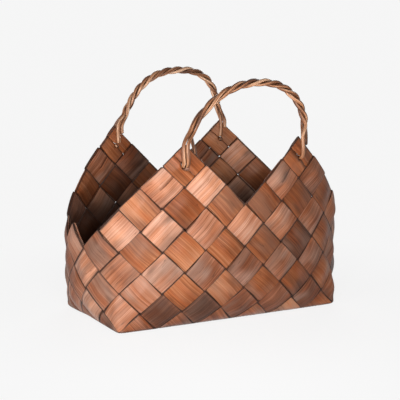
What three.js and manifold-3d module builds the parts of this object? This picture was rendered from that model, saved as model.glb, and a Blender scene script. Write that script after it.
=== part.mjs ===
// Woven magazine basket: flat strips plaited on the bias into a box that opens to an oval mouth,
// a zigzag rim with four peaks, and two arched handles, each of three rods twisted together.
// Millimetres, +Z up, +X along the length, front at -Y, standing on Z = 0.
import * as THREE from "three";
import { mergeVertices } from "three/addons/utils/BufferGeometryUtils.js";
import Module from "manifold-3d";

// Strips: the two layers of the weave lie LAYER_GAP apart, and neighbours leave WEAVE_GAP of daylight.
// Where three cells meet at a corner of the base, each stops CORNER_RELIEF short of it.
const STRIP_WIDTH = 44.5;
const WEAVE_GAP = 2.5;
const STRIP_THICKNESS = 1.4;
const LAYER_GAP = 0.4;
const CORNER_RELIEF = 6.5;

// Weave, counted in cells: a cell is the square where two strips cross, standing on its corner.
// The rim stands CORNER_CELLS high over each corner of the base and climbs to a peak beside it.
const BASE_CELLS_LONG = 6;
const BASE_CELLS_WIDE = 3;
const CORNER_CELLS = 3;
const CLIMB_HALF_CELLS = 3;

// Walls: they bow out from the straight base into an oval, and lose a little height by it
const SIDE_BULGE = 41.5;
const END_BULGE = 29.5;
const ROUNDING_HEIGHT = 125;
const BOW_DROP = 5.5;
const MOUTH_EXPONENT = 2.42;

// Handle rods: laid together with ROD_GAP between them, and parted SPLIT_RISE above the rim
const ROD_DIAMETER = 5.6;
const ROD_GAP = 0.6;
const LEG_OFFSET = 8.5;
const LEG_SPACING = 7;
const SPLIT_RISE = 18;
const STUB_REACH = 9;
const STUB_DROP = 3;
const FREE_END_LENGTH = 14;
const ARCH_EXPONENT = 2.3;

// Slits: each peak's strips are split along their grain, and an eye there takes the rods
const SLIT_WIDTH = 1;
const SLIT_LENGTH = 52;
const EYE_CLEARANCE = 1.2;

// Handle arches: rise above the eyes, lean of the crown along +X, widening of the flanks, pitch of the
// twist, and the power of the way along that it goes by, where one is even and more tightens to the right
const FRONT_RISE = 121;
const FRONT_LEAN = 27;
const FRONT_BELLY = 6;
const FRONT_PITCH = 74;
const FRONT_TIGHTENING = 1.3;
const BACK_RISE = 124;
const BACK_LEAN = 20;
const BACK_BELLY = -5;
const BACK_PITCH = 62;
const BACK_TIGHTENING = 1;

// Rod ends at each peak: the inside rods' free tips, as shift along +X and height from the eye, how
// much higher the last rod ends, and the lean along +X of the outside rods where they pass the rim
const FRONT_LEFT_TIP = { shift: 20, height: -6, stagger: 0, lean: 0 };
const FRONT_RIGHT_TIP = { shift: 23, height: 16, stagger: 0, lean: 0 };
const BACK_LEFT_TIP = { shift: 4.5, height: 20, stagger: -16, lean: 10 };
const BACK_RIGHT_TIP = { shift: 3, height: 5, stagger: 15, lean: 6 };
const HANDLES = [
  {
    name: "front_handle",
    back: false,
    rise: FRONT_RISE,
    lean: FRONT_LEAN,
    belly: FRONT_BELLY,
    pitch: FRONT_PITCH,
    tightening: FRONT_TIGHTENING,
    tips: [FRONT_LEFT_TIP, FRONT_RIGHT_TIP],
  },
  {
    name: "back_handle",
    back: true,
    rise: BACK_RISE,
    lean: BACK_LEAN,
    belly: BACK_BELLY,
    pitch: BACK_PITCH,
    tightening: BACK_TIGHTENING,
    tips: [BACK_LEFT_TIP, BACK_RIGHT_TIP],
  },
];

// Rods of a handle, and how many of them hook through each peak from outside: front left, front
// right, back right, back left. Where one does it is the first rod, and where two do it is the others.
const RODS_PER_HANDLE = 3;
const OUTSIDE_RODS = [2, 1, 1, 1];

// Fineness of the faceted rods and cuts, and the small share of a cell that slopes are taken over
const ROD_SIDES = 6;
const ROD_STEP = 5.8;
const POINTS_PER_TURN = 10;
const EYE_SEGMENTS = 8;
const ARCH_SAMPLES = 400;
const SLIT_SPANS = 8;
const NUDGE = 0.02;

// Finish: warm brown bark, and paler peeled rods
const WARP_COLOUR = 0x9c6242;
const WEFT_COLOUR = 0x8d5a40;
const STRIP_ROUGHNESS = 0.6;
const ROD_COLOUR = 0xb98558;
const ROD_ROUGHNESS = 0.65;

const STRIP_PITCH = STRIP_WIDTH + WEAVE_GAP;
const CELL = STRIP_PITCH * Math.SQRT2;
const CIRCUMFERENCE = 2 * (BASE_CELLS_LONG + BASE_CELLS_WIDE);
const LAYER_OFFSET = (STRIP_THICKNESS + LAYER_GAP) / 2;
const FLOOR = STRIP_THICKNESS + LAYER_GAP / 2;
const WALL_THICKNESS = 2 * STRIP_THICKNESS + LAYER_GAP;
const CUT_REACH = 2 * WALL_THICKNESS;
const ROD_SPACING = ROD_DIAMETER + ROD_GAP;
const PEAK_INSET = CLIMB_HALF_CELLS / 2;
const PEAK_ROW = CORNER_CELLS + PEAK_INSET;
const EYE_ROW = PEAK_ROW - 0.5;
const RIM_HEIGHT = (PEAK_ROW - EYE_ROW) * CELL;
const PEAKS = [
  PEAK_INSET,
  BASE_CELLS_LONG - PEAK_INSET,
  BASE_CELLS_LONG + BASE_CELLS_WIDE + PEAK_INSET,
  CIRCUMFERENCE - BASE_CELLS_WIDE - PEAK_INSET,
];
const END_VALLEYS = [-BASE_CELLS_WIDE / 2, BASE_CELLS_LONG + BASE_CELLS_WIDE / 2];
const TOLERANCE = 1e-6;

const wasm = await Module();
wasm.setup();

// A quarter of the mouth, a superellipse from the middle of the front to the middle of the right end
class MouthQuarter extends THREE.Curve {
  getPoint(t, target = new THREE.Vector2()) {
    const sine = Math.sin((t * Math.PI) / 2);
    const cosine = Math.cos((t * Math.PI) / 2);
    const reach = (sine ** MOUTH_EXPONENT + cosine ** MOUTH_EXPONENT) ** (-1 / MOUTH_EXPONENT);
    const halfLength = (BASE_CELLS_LONG * CELL) / 2 + END_BULGE;
    const halfWidth = (BASE_CELLS_WIDE * CELL) / 2 + SIDE_BULGE;
    return target.set(halfLength * sine * reach, -halfWidth * cosine * reach);
  }
}
const mouth = new MouthQuarter();

// Signed distance round the basket from position b to position a, in cells
function aroundFrom(a, b) {
  const turn = (a - b) / CIRCUMFERENCE;
  return (turn - Math.round(turn)) * CIRCUMFERENCE;
}

// Share of the way from the straight base outline to the oval mouth at a row of the wall
function rounding(row) {
  const share = Math.min((row * CELL) / ROUNDING_HEIGHT, 1);
  return 1 - (1 - share) ** 3;
}

// Middle surface of the wall: x runs round from the front left corner, row climbs from the base edge
function wallPoint(x, row) {
  const fromFront = aroundFrom(x, BASE_CELLS_LONG / 2);
  const quarter = CIRCUMFERENCE / 4;
  const behind = Math.abs(fromFront) > quarter;
  const along = behind ? 2 * quarter - Math.abs(fromFront) : Math.abs(fromFront);
  const pastCorner = Math.max(along - BASE_CELLS_LONG / 2, 0);
  const outline = new THREE.Vector2(along - pastCorner, pastCorner - BASE_CELLS_WIDE / 2);
  outline.multiplyScalar(CELL).lerp(mouth.getPointAt(along / quarter), rounding(row));
  const height = FLOOR + row * CELL - BOW_DROP * rounding(row);
  return new THREE.Vector3(
    fromFront < 0 ? -outline.x : outline.x,
    behind ? -outline.y : outline.y,
    height,
  );
}

// Wall position [x, row] of a point a, b of the base plan unfolded over one of its four edges
const UNFOLD = {
  front: (a, b) => [a, -b],
  left: (a, b) => [-b, -a],
  right: (a, b) => [BASE_CELLS_LONG + b, a - BASE_CELLS_LONG],
  back: (a, b) => [2 * BASE_CELLS_LONG + BASE_CELLS_WIDE - a, b - BASE_CELLS_WIDE],
};

// Middle surface at a, b of the unfolded plan, in cells from the front left corner of the base
function weavePoint(side, a, b) {
  const [x, row] = UNFOLD[side](a, b);
  if (row > 0) {
    return wallPoint(x, row);
  }
  return new THREE.Vector3((a - BASE_CELLS_LONG / 2) * CELL, (b - BASE_CELLS_WIDE / 2) * CELL, FLOOR);
}

// Plan position of a cell corner, drawn back where it would crowd a corner of the base
function clearOfCorner([a, b]) {
  const nearest = new THREE.Vector2(Math.round(a / BASE_CELLS_LONG), Math.round(b / BASE_CELLS_WIDE));
  nearest.clampScalar(0, 1).multiply(new THREE.Vector2(BASE_CELLS_LONG, BASE_CELLS_WIDE));
  const away = new THREE.Vector2(a, b).sub(nearest);
  const relief = CORNER_RELIEF / CELL;
  if (away.length() < relief) {
    away.setLength(relief);
  }
  return away.add(nearest).toArray();
}

// Height of the zigzag rim, in cells
function rimRow(x) {
  return PEAK_ROW - Math.min(...PEAKS.map((peak) => Math.abs(aroundFrom(x, peak))));
}

// Whether a cell centred at x, row is woven: all below the rim, and one tab in each end valley
function isWoven(x, row) {
  const tab = END_VALLEYS.some(
    (valley) =>
      Math.abs(aroundFrom(x, valley)) < TOLERANCE && Math.abs(row - rimRow(valley) - 0.5) < TOLERANCE,
  );
  return tab || row + 0.5 <= rimRow(x) + TOLERANCE;
}

// Course of a warp strip, which crosses the base from front left to back right
function warpCourse(line) {
  const low = Math.abs(line);
  const high = Math.min(2 * BASE_CELLS_WIDE + line, 2 * BASE_CELLS_LONG - line);
  return {
    place: (along, across) => [(along + line - across) / 2, (along - line + across) / 2],
    low,
    high,
    lowSide: line > 0 ? "front" : "left",
    highSide: line < BASE_CELLS_LONG - BASE_CELLS_WIDE ? "back" : "right",
    outsideOnHalves: true,
  };
}

// Course of a weft strip, which crosses the base from back left to front right
function weftCourse(line) {
  return {
    place: (along, across) => [(across + line + along) / 2, (across + line - along) / 2],
    low: Math.max(-line, line - 2 * BASE_CELLS_WIDE),
    high: Math.min(line, 2 * BASE_CELLS_LONG - line),
    lowSide: line < BASE_CELLS_WIDE ? "left" : "back",
    highSide: line < BASE_CELLS_LONG ? "front" : "right",
    outsideOnHalves: false,
  };
}

function sideAt(course, along) {
  return along < (course.low + course.high) / 2 ? course.lowSide : course.highSide;
}

// Positions along a strip of all its cells, from rim to rim
function cellsOf(course) {
  const woven = (along) => isWoven(...UNFOLD[sideAt(course, along)](...course.place(along, 0)));
  const cells = [];
  let along = course.low;
  while (woven(along - 1)) {
    along -= 1;
  }
  while (along <= course.high || woven(along)) {
    cells.push(along);
    along += 1;
  }
  return cells;
}

function facetNormal(a, b, c) {
  const edge = b.clone().sub(a);
  return c.clone().sub(a).cross(edge).normalize();
}

// One cell as a plate folded along a diagonal: its corners and the outward offset of each.
// Walls fold along the upright diagonal, and cells on a base edge along that edge.
function foldedCell(course, along) {
  const side = sideAt(course, along);
  const half = STRIP_WIDTH / STRIP_PITCH / 2;
  const plan = [[-half, -half], [half, -half], [half, half], [-half, half]].map(
    ([step, across]) => clearOfCorner(course.place(along + step, across)),
  );
  const corners = plan.map(([a, b]) => weavePoint(side, a, b));
  const [x0, row0] = UNFOLD[side](...plan[0]);
  const [x2, row2] = UNFOLD[side](...plan[2]);
  const [, row] = UNFOLD[side](...course.place(along, 0));
  const mainFold = row > TOLERANCE ? Math.abs(x0 - x2) < half : Math.abs(row0 - row2) < half;
  const first = mainFold ? 0 : 1;
  const turn = (k) => (first + k) % 4;
  const before = facetNormal(corners[turn(0)], corners[turn(1)], corners[turn(2)]);
  const after = facetNormal(corners[turn(0)], corners[turn(2)], corners[turn(3)]);
  const mitre = before.clone().add(after).divideScalar(1 + before.dot(after));
  const offsets = [];
  offsets[turn(0)] = mitre;
  offsets[turn(1)] = before;
  offsets[turn(2)] = mitre;
  offsets[turn(3)] = after;
  return { corners, offsets, mainFold };
}

// Four-sided tube through rings of four points; a split flag turns the diagonal of a span's two faces
function tubeOfRings(rings, mainFolds) {
  const indices = [];
  const quad = (p, q, r, s, along) => {
    indices.push(...(along ? [p, q, r, p, r, s] : [p, q, s, q, r, s]));
  };
  for (let i = 0; i + 1 < rings.length; i += 1) {
    for (let j = 0; j < 4; j += 1) {
      const k = (j + 1) % 4;
      const main = j === 2 ? !mainFolds[i] : mainFolds[i];
      quad(4 * i + j, 4 * i + k, 4 * i + 4 + k, 4 * i + 4 + j, main);
    }
  }
  const last = 4 * (rings.length - 1);
  quad(3, 2, 1, 0, true);
  quad(last, last + 1, last + 2, last + 3, true);
  const geometry = new THREE.BufferGeometry().setFromPoints(rings.flat());
  geometry.setIndex(indices);
  return geometry;
}

function ringAt(near, far, nearOffset, farOffset, inner, outer) {
  return [
    near.clone().addScaledVector(nearOffset, outer),
    far.clone().addScaledVector(farOffset, outer),
    far.clone().addScaledVector(farOffset, inner),
    near.clone().addScaledVector(nearOffset, inner),
  ];
}

// A strip laid over and under along its course: plates on the cells, short ramps in the gaps
function stripGeometry(course) {
  const rings = [];
  const mainFolds = [];
  for (const along of cellsOf(course)) {
    const { corners, offsets, mainFold } = foldedCell(course, along);
    const [a] = course.place(along, 0);
    const onHalf = Math.round(2 * a) % 2 !== 0;
    const layer = onHalf === course.outsideOnHalves ? LAYER_OFFSET : -LAYER_OFFSET;
    const inner = layer - STRIP_THICKNESS / 2;
    const outer = layer + STRIP_THICKNESS / 2;
    rings.push(ringAt(corners[0], corners[3], offsets[0], offsets[3], inner, outer));
    rings.push(ringAt(corners[1], corners[2], offsets[1], offsets[2], inner, outer));
    mainFolds.push(mainFold, true);
  }
  return tubeOfRings(rings, mainFolds);
}

// Outward direction of the weave at a, b of the unfolded plan
function outwardAt(side, a, b) {
  const here = weavePoint(side, a, b);
  return facetNormal(here, weavePoint(side, a + NUDGE, b), weavePoint(side, a, b + NUDGE));
}

// Body of the slit that runs along a strip from past its free end to SLIT_LENGTH beyond the eye
function slitGeometry(course, eye, stop) {
  const direction = Math.sign(stop - eye);
  const side = sideAt(course, eye);
  const half = SLIT_WIDTH / STRIP_PITCH / 2;
  const start = eye - (direction * SLIT_LENGTH) / STRIP_PITCH;
  const rings = [];
  for (let i = 0; i <= SLIT_SPANS; i += 1) {
    const share = direction > 0 ? i / SLIT_SPANS : 1 - i / SLIT_SPANS;
    const along = start + (stop - start) * share;
    const near = course.place(along, -half);
    const far = course.place(along, half);
    rings.push(
      ringAt(
        weavePoint(side, ...near),
        weavePoint(side, ...far),
        outwardAt(side, ...near),
        outwardAt(side, ...far),
        -CUT_REACH,
        CUT_REACH,
      ),
    );
  }
  return tubeOfRings(rings, rings.map(() => true));
}

// Frame of a peak's eye: its centre, the level way out of the wall, and the level way along the wall
function eyeFrame(peak) {
  const centre = wallPoint(peak, EYE_ROW);
  const ahead = wallPoint(peak + NUDGE, EYE_ROW).sub(wallPoint(peak - NUDGE, EYE_ROW)).normalize();
  const up = new THREE.Vector3(0, 0, 1);
  return { centre, along: ahead, out: ahead.clone().cross(up), up };
}

function rodsThrough(peak) {
  return OUTSIDE_RODS[PEAKS.indexOf(peak)];
}

function liesOutside(rod, peak) {
  return (rod === 0) === (rodsThrough(peak) === 1);
}

// Body of the eye that lets the rods of one handle end through both layers
function eyeGeometry(peak) {
  const rods = rodsThrough(peak);
  const width = (rods - 1) * LEG_SPACING + ROD_DIAMETER + 2 * EYE_CLEARANCE;
  const height = ROD_DIAMETER + 2 * EYE_CLEARANCE;
  const shape = new THREE.Shape().absellipse(0, 0, width / 2, height / 2, 0, 2 * Math.PI);
  const geometry = new THREE.ExtrudeGeometry(shape, {
    depth: 2 * CUT_REACH,
    bevelEnabled: false,
    curveSegments: EYE_SEGMENTS,
  });
  const { centre, along, out, up } = eyeFrame(peak);
  const base = centre.clone().addScaledVector(out, -CUT_REACH);
  return geometry.applyMatrix4(new THREE.Matrix4().makeBasis(along, up, out).setPosition(base));
}

function toSolid(geometry) {
  const bare = geometry.clone();
  bare.deleteAttribute("normal");
  bare.deleteAttribute("uv");
  const merged = mergeVertices(bare);
  return new wasm.Manifold(
    new wasm.Mesh({
      numProp: 3,
      vertProperties: new Float32Array(merged.attributes.position.array),
      triVerts: new Uint32Array(merged.index.array),
    }),
  );
}

function toGeometry(solid) {
  const mesh = solid.getMesh();
  const geometry = new THREE.BufferGeometry();
  geometry.setAttribute("position", new THREE.BufferAttribute(mesh.vertProperties, 3));
  geometry.setIndex(new THREE.BufferAttribute(mesh.triVerts, 1));
  return geometry;
}

// A strip with a slit and an eye wherever its course tops a peak
function finishedStrip(course) {
  const cells = cellsOf(course);
  let solid = toSolid(stripGeometry(course));
  for (const along of cells) {
    const [x, row] = UNFOLD[sideAt(course, along)](...course.place(along, 0));
    const peak = PEAKS.find((other) => Math.abs(aroundFrom(x, other)) < TOLERANCE);
    if (peak !== undefined && Math.abs(row - EYE_ROW) < TOLERANCE) {
      const atLowEnd = sideAt(course, along) === course.lowSide && along < course.low;
      const freeEnd = atLowEnd ? cells[0] - 1 : cells[cells.length - 1] + 1;
      solid = solid.subtract(toSolid(slitGeometry(course, along, freeEnd)));
      solid = solid.subtract(toSolid(eyeGeometry(peak)));
    }
  }
  return toGeometry(solid);
}

// Centre line of an arch between two eyes, in its upright plane
class ArchCurve extends THREE.Curve {
  constructor(start, end, { rise, lean, belly }) {
    super();
    Object.assign(this, { start, end, rise, lean, belly });
  }

  getPoint(t, target = new THREE.Vector3()) {
    const cosine = Math.cos(t * Math.PI);
    const climb = Math.abs(Math.sin(t * Math.PI)) ** (2 / ARCH_EXPONENT);
    const level = -Math.sign(cosine) * Math.abs(cosine) ** (2 / ARCH_EXPONENT);
    const reach = (this.end.x - this.start.x) / 2 + this.belly * Math.sin(Math.PI * climb);
    const x = (this.start.x + this.end.x) / 2 + reach * level + this.lean * climb;
    return target.set(x, this.start.y, this.start.z + this.rise * climb);
  }

  // Shares of the length at which the arch passes the split height, going up and coming down
  splitShares() {
    const split = this.start.z + RIM_HEIGHT + SPLIT_RISE;
    const above = this.getSpacedPoints(ARCH_SAMPLES).map((point) => point.z >= split);
    return [above.indexOf(true) / ARCH_SAMPLES, above.lastIndexOf(true) / ARCH_SAMPLES];
  }
}

// Points of a rod end, from its tip to the rim: an outside leg hooks through the eye to a stub and
// leans as it climbs, and an inside leg ends free behind the rim
function legPoints(peak, rod, sideways, { shift, height, stagger, lean }) {
  const { centre, along, out, up } = eyeFrame(peak);
  const at = (reach, rise, aside = 0) => {
    const point = centre.clone().addScaledVector(along, (sideways + aside) * Math.sign(along.x));
    return point.addScaledVector(out, reach).addScaledVector(up, rise);
  };
  if (!liesOutside(rod, peak)) {
    const foot = rod === RODS_PER_HANDLE - 1 ? height + stagger : height;
    const highFoot = height + Math.max(stagger, 0);
    const top = Math.max(RIM_HEIGHT - Math.abs(shift), highFoot + FREE_END_LENGTH);
    return [at(-LEG_OFFSET, foot, shift), at(-LEG_OFFSET, top, shift)];
  }
  const bend = LEG_OFFSET / 2;
  return [
    at(-STUB_REACH, -STUB_DROP),
    at(-STUB_REACH / 2, 0),
    at(LEG_OFFSET - bend, 0),
    at(LEG_OFFSET, bend),
    at(LEG_OFFSET, RIM_HEIGHT, lean),
  ];
}

// One rod of a handle. Where the first rod lies outside at one peak and inside at the other, the twist
// goes half a turn past its whole turns.
function rodCurve(arch, peaks, { back, pitch, tightening, tips }, rod) {
  const [from, to] = arch.splitShares();
  const changesSide = liesOutside(0, peaks[0]) !== liesOutside(0, peaks[1]);
  const turns = Math.floor(((to - from) * arch.getLength()) / pitch) + (changesSide ? 0.5 : 0);
  const steps = Math.round(turns * POINTS_PER_TURN);
  const radius = ROD_SPACING / (2 * Math.sin(Math.PI / RODS_PER_HANDLE));
  const outward = new THREE.Vector3(0, back ? 1 : -1, 0);
  const lay = back ? 1 : -1;
  const first = liesOutside(0, peaks[0]) ? Math.PI / 2 : -Math.PI / 2;
  const phase = first + (rod * 2 * Math.PI) / RODS_PER_HANDLE;
  const twist = [];
  for (let i = 0; i <= steps; i += 1) {
    const share = from + ((to - from) * i) / steps;
    const tangent = arch.getTangentAt(share);
    const normal = new THREE.Vector3(-tangent.z, 0, tangent.x);
    const angle = phase + lay * turns * 2 * Math.PI * (i / steps) ** tightening;
    const point = arch.getPointAt(share).addScaledVector(normal, radius * Math.cos(angle));
    twist.push(point.addScaledVector(outward, radius * Math.sin(angle)));
  }
  const leg = (end, twisted, share) => {
    const aside = rod > 0 ? Math.sign(twisted.x - arch.getPointAt(share).x) : 0;
    return legPoints(peaks[end], rod, (aside * LEG_SPACING) / 2, tips[end]);
  };
  const startLeg = leg(0, twist[0], from);
  const endLeg = leg(1, twist[steps], to);
  return new THREE.CatmullRomCurve3([...startLeg, ...twist, ...endLeg.reverse()]);
}

function rodGeometry(curve) {
  const middle = new THREE.Vector2();
  const corners = Array.from({ length: ROD_SIDES }, (_, i) =>
    new THREE.Vector2(ROD_DIAMETER / 2, 0).rotateAround(middle, (i * 2 * Math.PI) / ROD_SIDES),
  );
  const steps = Math.round(curve.getLength() / ROD_STEP);
  return new THREE.ExtrudeGeometry(new THREE.Shape(corners), {
    steps,
    extrudePath: curve,
    bevelEnabled: false,
  });
}

function addPiece(group, name, geometry, colour, roughness) {
  const material = new THREE.MeshStandardMaterial({ color: colour, roughness, metalness: 0 });
  const mesh = new THREE.Mesh(geometry, material);
  mesh.name = name;
  group.add(mesh);
}

function wovenBody() {
  const body = new THREE.Group();
  for (let i = 0; i < BASE_CELLS_LONG + BASE_CELLS_WIDE; i += 1) {
    const warp = warpCourse(i - BASE_CELLS_WIDE + 0.5);
    const weft = weftCourse(i + 0.5);
    addPiece(body, `warp_strip_${i + 1}`, finishedStrip(warp), WARP_COLOUR, STRIP_ROUGHNESS);
    addPiece(body, `weft_strip_${i + 1}`, finishedStrip(weft), WEFT_COLOUR, STRIP_ROUGHNESS);
  }
  return body;
}

function twistedHandle(handle) {
  const [frontLeft, frontRight, backRight, backLeft] = PEAKS;
  const peaks = handle.back ? [backLeft, backRight] : [frontLeft, frontRight];
  const arch = new ArchCurve(wallPoint(peaks[0], EYE_ROW), wallPoint(peaks[1], EYE_ROW), handle);
  const group = new THREE.Group();
  for (let rod = 0; rod < RODS_PER_HANDLE; rod += 1) {
    const curve = rodCurve(arch, peaks, handle, rod);
    addPiece(group, `${handle.name}_rod_${rod + 1}`, rodGeometry(curve), ROD_COLOUR, ROD_ROUGHNESS);
  }
  return group;
}

const basket = new THREE.Group();
basket.add(wovenBody(), ...HANDLES.map(twistedHandle));

export default basket;
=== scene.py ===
# %% [markdown]
# # A magazine basket plaited from bark
# The basket is woven on the bias from broad flat strips of bark: they start as a flat base, turn up
# into walls that bow out to an oval mouth, and end in a zigzag rim with four peaks. Each long side has
# an arched handle of twisted rods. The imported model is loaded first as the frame, because every piece
# made here takes the place of one of its nodes and moves with one of its bodies.

# %% Load the frame
import math

import bmesh
import bpy
import numpy as np
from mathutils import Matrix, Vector


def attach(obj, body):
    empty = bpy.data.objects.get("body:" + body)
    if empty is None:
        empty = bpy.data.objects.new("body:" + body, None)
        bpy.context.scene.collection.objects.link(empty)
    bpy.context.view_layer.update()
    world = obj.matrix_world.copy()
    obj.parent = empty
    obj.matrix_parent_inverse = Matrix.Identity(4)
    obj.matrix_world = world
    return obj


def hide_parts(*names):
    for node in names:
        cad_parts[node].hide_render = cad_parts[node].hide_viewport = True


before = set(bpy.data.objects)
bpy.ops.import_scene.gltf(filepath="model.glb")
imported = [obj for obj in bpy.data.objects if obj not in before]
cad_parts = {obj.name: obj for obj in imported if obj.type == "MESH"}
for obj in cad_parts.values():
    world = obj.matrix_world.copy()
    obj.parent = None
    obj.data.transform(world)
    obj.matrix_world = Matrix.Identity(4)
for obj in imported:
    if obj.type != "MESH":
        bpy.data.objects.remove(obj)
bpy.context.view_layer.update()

# %% [markdown]
# ## Camera
# The photograph was taken with a long lens, a little above the rim and from the left. A camera in
# Blender could be aimed with a constraint, but a view worked out from azimuth, elevation and distance
# is easier to read, and nothing is left that moves it later.

# %% Camera
VIEW_AZIMUTH = math.radians(-27.26)
VIEW_ELEVATION = math.radians(10.2)
VIEW_DISTANCE = 1.988
VIEW_TARGET_HEIGHT = 0.1662
VIEW_SLIDE = -0.0053
VIEW_RAISE = 0.0133
IMAGE_PIXELS = 400
FOCAL_PIXELS = 1196.4


def photo_camera():
    """Camera on a sphere round the target: back is the unit vector from the target to the camera."""
    flat = math.cos(VIEW_ELEVATION)
    back = Vector((math.sin(VIEW_AZIMUTH) * flat, -math.cos(VIEW_AZIMUTH) * flat, math.sin(VIEW_ELEVATION)))
    right = Vector((math.cos(VIEW_AZIMUTH), math.sin(VIEW_AZIMUTH), 0))
    target = Vector((0, 0, VIEW_TARGET_HEIGHT)) + right * VIEW_SLIDE + back.cross(right) * VIEW_RAISE
    data = bpy.data.cameras.new("photo_camera")
    data.lens = data.sensor_width * FOCAL_PIXELS / IMAGE_PIXELS
    data.clip_end = 50
    camera = bpy.data.objects.new("photo_camera", data)
    camera.location = target + back * VIEW_DISTANCE
    camera.rotation_mode = "QUATERNION"
    camera.rotation_quaternion = (-back).to_track_quat("-Z", "Y")
    bpy.context.scene.collection.objects.link(camera)
    bpy.context.scene.camera = camera
    print("camera: lens", round(data.lens, 1), "mm at", [round(v, 3) for v in camera.location])


photo_camera()

# %% [markdown]
# ## Node helper
# Materials here are node trees. Written out by hand each node takes several lines, so one helper makes
# a node, sets its options, and either links a socket or gives it a constant.

# %% Node helper


def add_node(tree, kind, inputs=None, **options):
    """A node of this kind; an input that is itself an output socket is linked, others are constants."""
    made = tree.nodes.new(kind)
    for option, value in options.items():
        setattr(made, option, value)
    for socket, value in (inputs or {}).items():
        if isinstance(value, bpy.types.NodeSocket):
            tree.links.new(value, made.inputs[socket])
        else:
            made.inputs[socket].default_value = value
    return made


def fresh_material(name):
    """An empty node material with its output node."""
    material = bpy.data.materials.new(name)
    material.use_nodes = True
    tree = material.node_tree
    tree.nodes.clear()
    return material, tree, tree.nodes.new("ShaderNodeOutputMaterial")


def math_node(tree, operation, first, second=0.0):
    """One arithmetic step on two values."""
    return add_node(tree, "ShaderNodeMath", {0: first, 1: second}, operation=operation).outputs[0]


# %% [markdown]
# ## Studio
# The photograph has an even pale background with hardly a shadow. The floor and the world are therefore
# shown to the camera, and in reflections, as one pale colour, and near the basket a share of real
# shading keeps a faint shadow. The bark's sheen and the dark inside come from large soft lamps that
# stand low: one before the basket and a weaker one beside its left end. A third lamp behind it lights
# the sides that the photograph does not show.

# %% Studio
BACKDROP = (0.918, 0.918, 0.918, 1)
FLOOR_HALF = 6.0
FLOOR_COLOUR = (0.8, 0.8, 0.8, 1)
FLOOR_SHADE = 0.2
FLOOR_LIT = 0.42
SHADE_REACH = (0.28, 0.6)
AMBIENT_COLOUR = (0.95, 0.97, 1.0, 1)
AMBIENT_STRENGTH = 0.04
KEY_LAMP = {"energy": 10.5, "size": 0.4, "place": (-0.48, -0.95, 0.28)}
FILL_LAMP = {"energy": 30, "size": 1.0, "place": (-2.2, -0.8, 0.35)}
BACK_LAMP = {"energy": 24, "size": 1.2, "place": (0.9, 1.5, 0.5)}
LAMP_TARGET = Vector((0, 0, 0.18))


def shown_rays(tree):
    """One for camera, glossy and transmission rays, and nought for the rays that light the object."""
    path = tree.nodes.new("ShaderNodeLightPath").outputs
    seen = math_node(tree, "MAXIMUM", path["Is Camera Ray"], path["Is Glossy Ray"])
    return math_node(tree, "MAXIMUM", seen, path["Is Transmission Ray"])


def studio_world():
    """World that shows the backdrop colour and lights the object with a weak even sky."""
    world = bpy.data.worlds.new("studio")
    world.use_nodes = True
    tree = world.node_tree
    tree.nodes.clear()
    sky = add_node(tree, "ShaderNodeBackground", {"Color": AMBIENT_COLOUR, "Strength": AMBIENT_STRENGTH})
    backdrop = add_node(tree, "ShaderNodeBackground", {"Color": BACKDROP, "Strength": 1.0})
    shaders = {0: shown_rays(tree), 1: sky.outputs[0], 2: backdrop.outputs[0]}
    mixed = add_node(tree, "ShaderNodeMixShader", shaders)
    add_node(tree, "ShaderNodeOutputWorld", {"Surface": mixed.outputs[0]})
    bpy.context.scene.world = world


def studio_floor():
    """A large level square under the basket. It is shown as a sum: a share of its real shading, which
    falls to nought with distance from the origin, and a glow that makes up the rest of the backdrop."""
    corners = np.array([[-1, -1, 0], [1, -1, 0], [1, 1, 0], [-1, 1, 0]]) * FLOOR_HALF
    mesh = bpy.data.meshes.new("studio_floor")
    mesh.from_pydata(corners.tolist(), [], [[0, 1, 2, 3]])
    floor = bpy.data.objects.new("studio_floor", mesh)
    bpy.context.scene.collection.objects.link(floor)
    material, tree, output = fresh_material("studio_paper")
    paper = add_node(tree, "ShaderNodeBsdfDiffuse", {"Color": FLOOR_COLOUR})
    place = add_node(tree, "ShaderNodeTexCoord").outputs["Object"]
    distance = add_node(tree, "ShaderNodeVectorMath", {0: place}, operation="LENGTH").outputs["Value"]
    share = add_node(tree, "ShaderNodeMapRange", {
        0: distance, 1: SHADE_REACH[0], 2: SHADE_REACH[1], 3: FLOOR_SHADE, 4: 0.0}).outputs[0]
    rest = math_node(tree, "SUBTRACT", BACKDROP[0], math_node(tree, "MULTIPLY", share, FLOOR_LIT))
    glow = add_node(tree, "ShaderNodeEmission", {"Color": (1, 1, 1, 1), "Strength": rest})
    shade_colour = math_node(tree, "MULTIPLY", share, FLOOR_COLOUR[0])
    shaded = add_node(tree, "ShaderNodeBsdfDiffuse", {"Color": shade_colour})
    shown = add_node(tree, "ShaderNodeAddShader", {0: glow.outputs[0], 1: shaded.outputs[0]})
    shaders = {0: shown_rays(tree), 1: paper.outputs[0], 2: shown.outputs[0]}
    mixed = add_node(tree, "ShaderNodeMixShader", shaders)
    tree.links.new(mixed.outputs[0], output.inputs["Surface"])
    mesh.materials.append(material)


def studio_lamp(name, energy, size, place):
    """A square area lamp that faces the basket and is itself not shown."""
    data = bpy.data.lights.new(name, "AREA")
    data.energy = energy
    data.size = size
    lamp = bpy.data.objects.new(name, data)
    lamp.location = place
    lamp.visible_camera = False
    lamp.rotation_mode = "QUATERNION"
    lamp.rotation_quaternion = (LAMP_TARGET - Vector(place)).to_track_quat("-Z", "Y")
    bpy.context.scene.collection.objects.link(lamp)


bpy.context.scene.view_settings.view_transform = "Standard"
studio_world()
studio_floor()
studio_lamp("key_lamp", **KEY_LAMP)
studio_lamp("fill_lamp", **FILL_LAMP)
studio_lamp("back_lamp", **BACK_LAMP)
print("studio: floor, world and three lamps")

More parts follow.
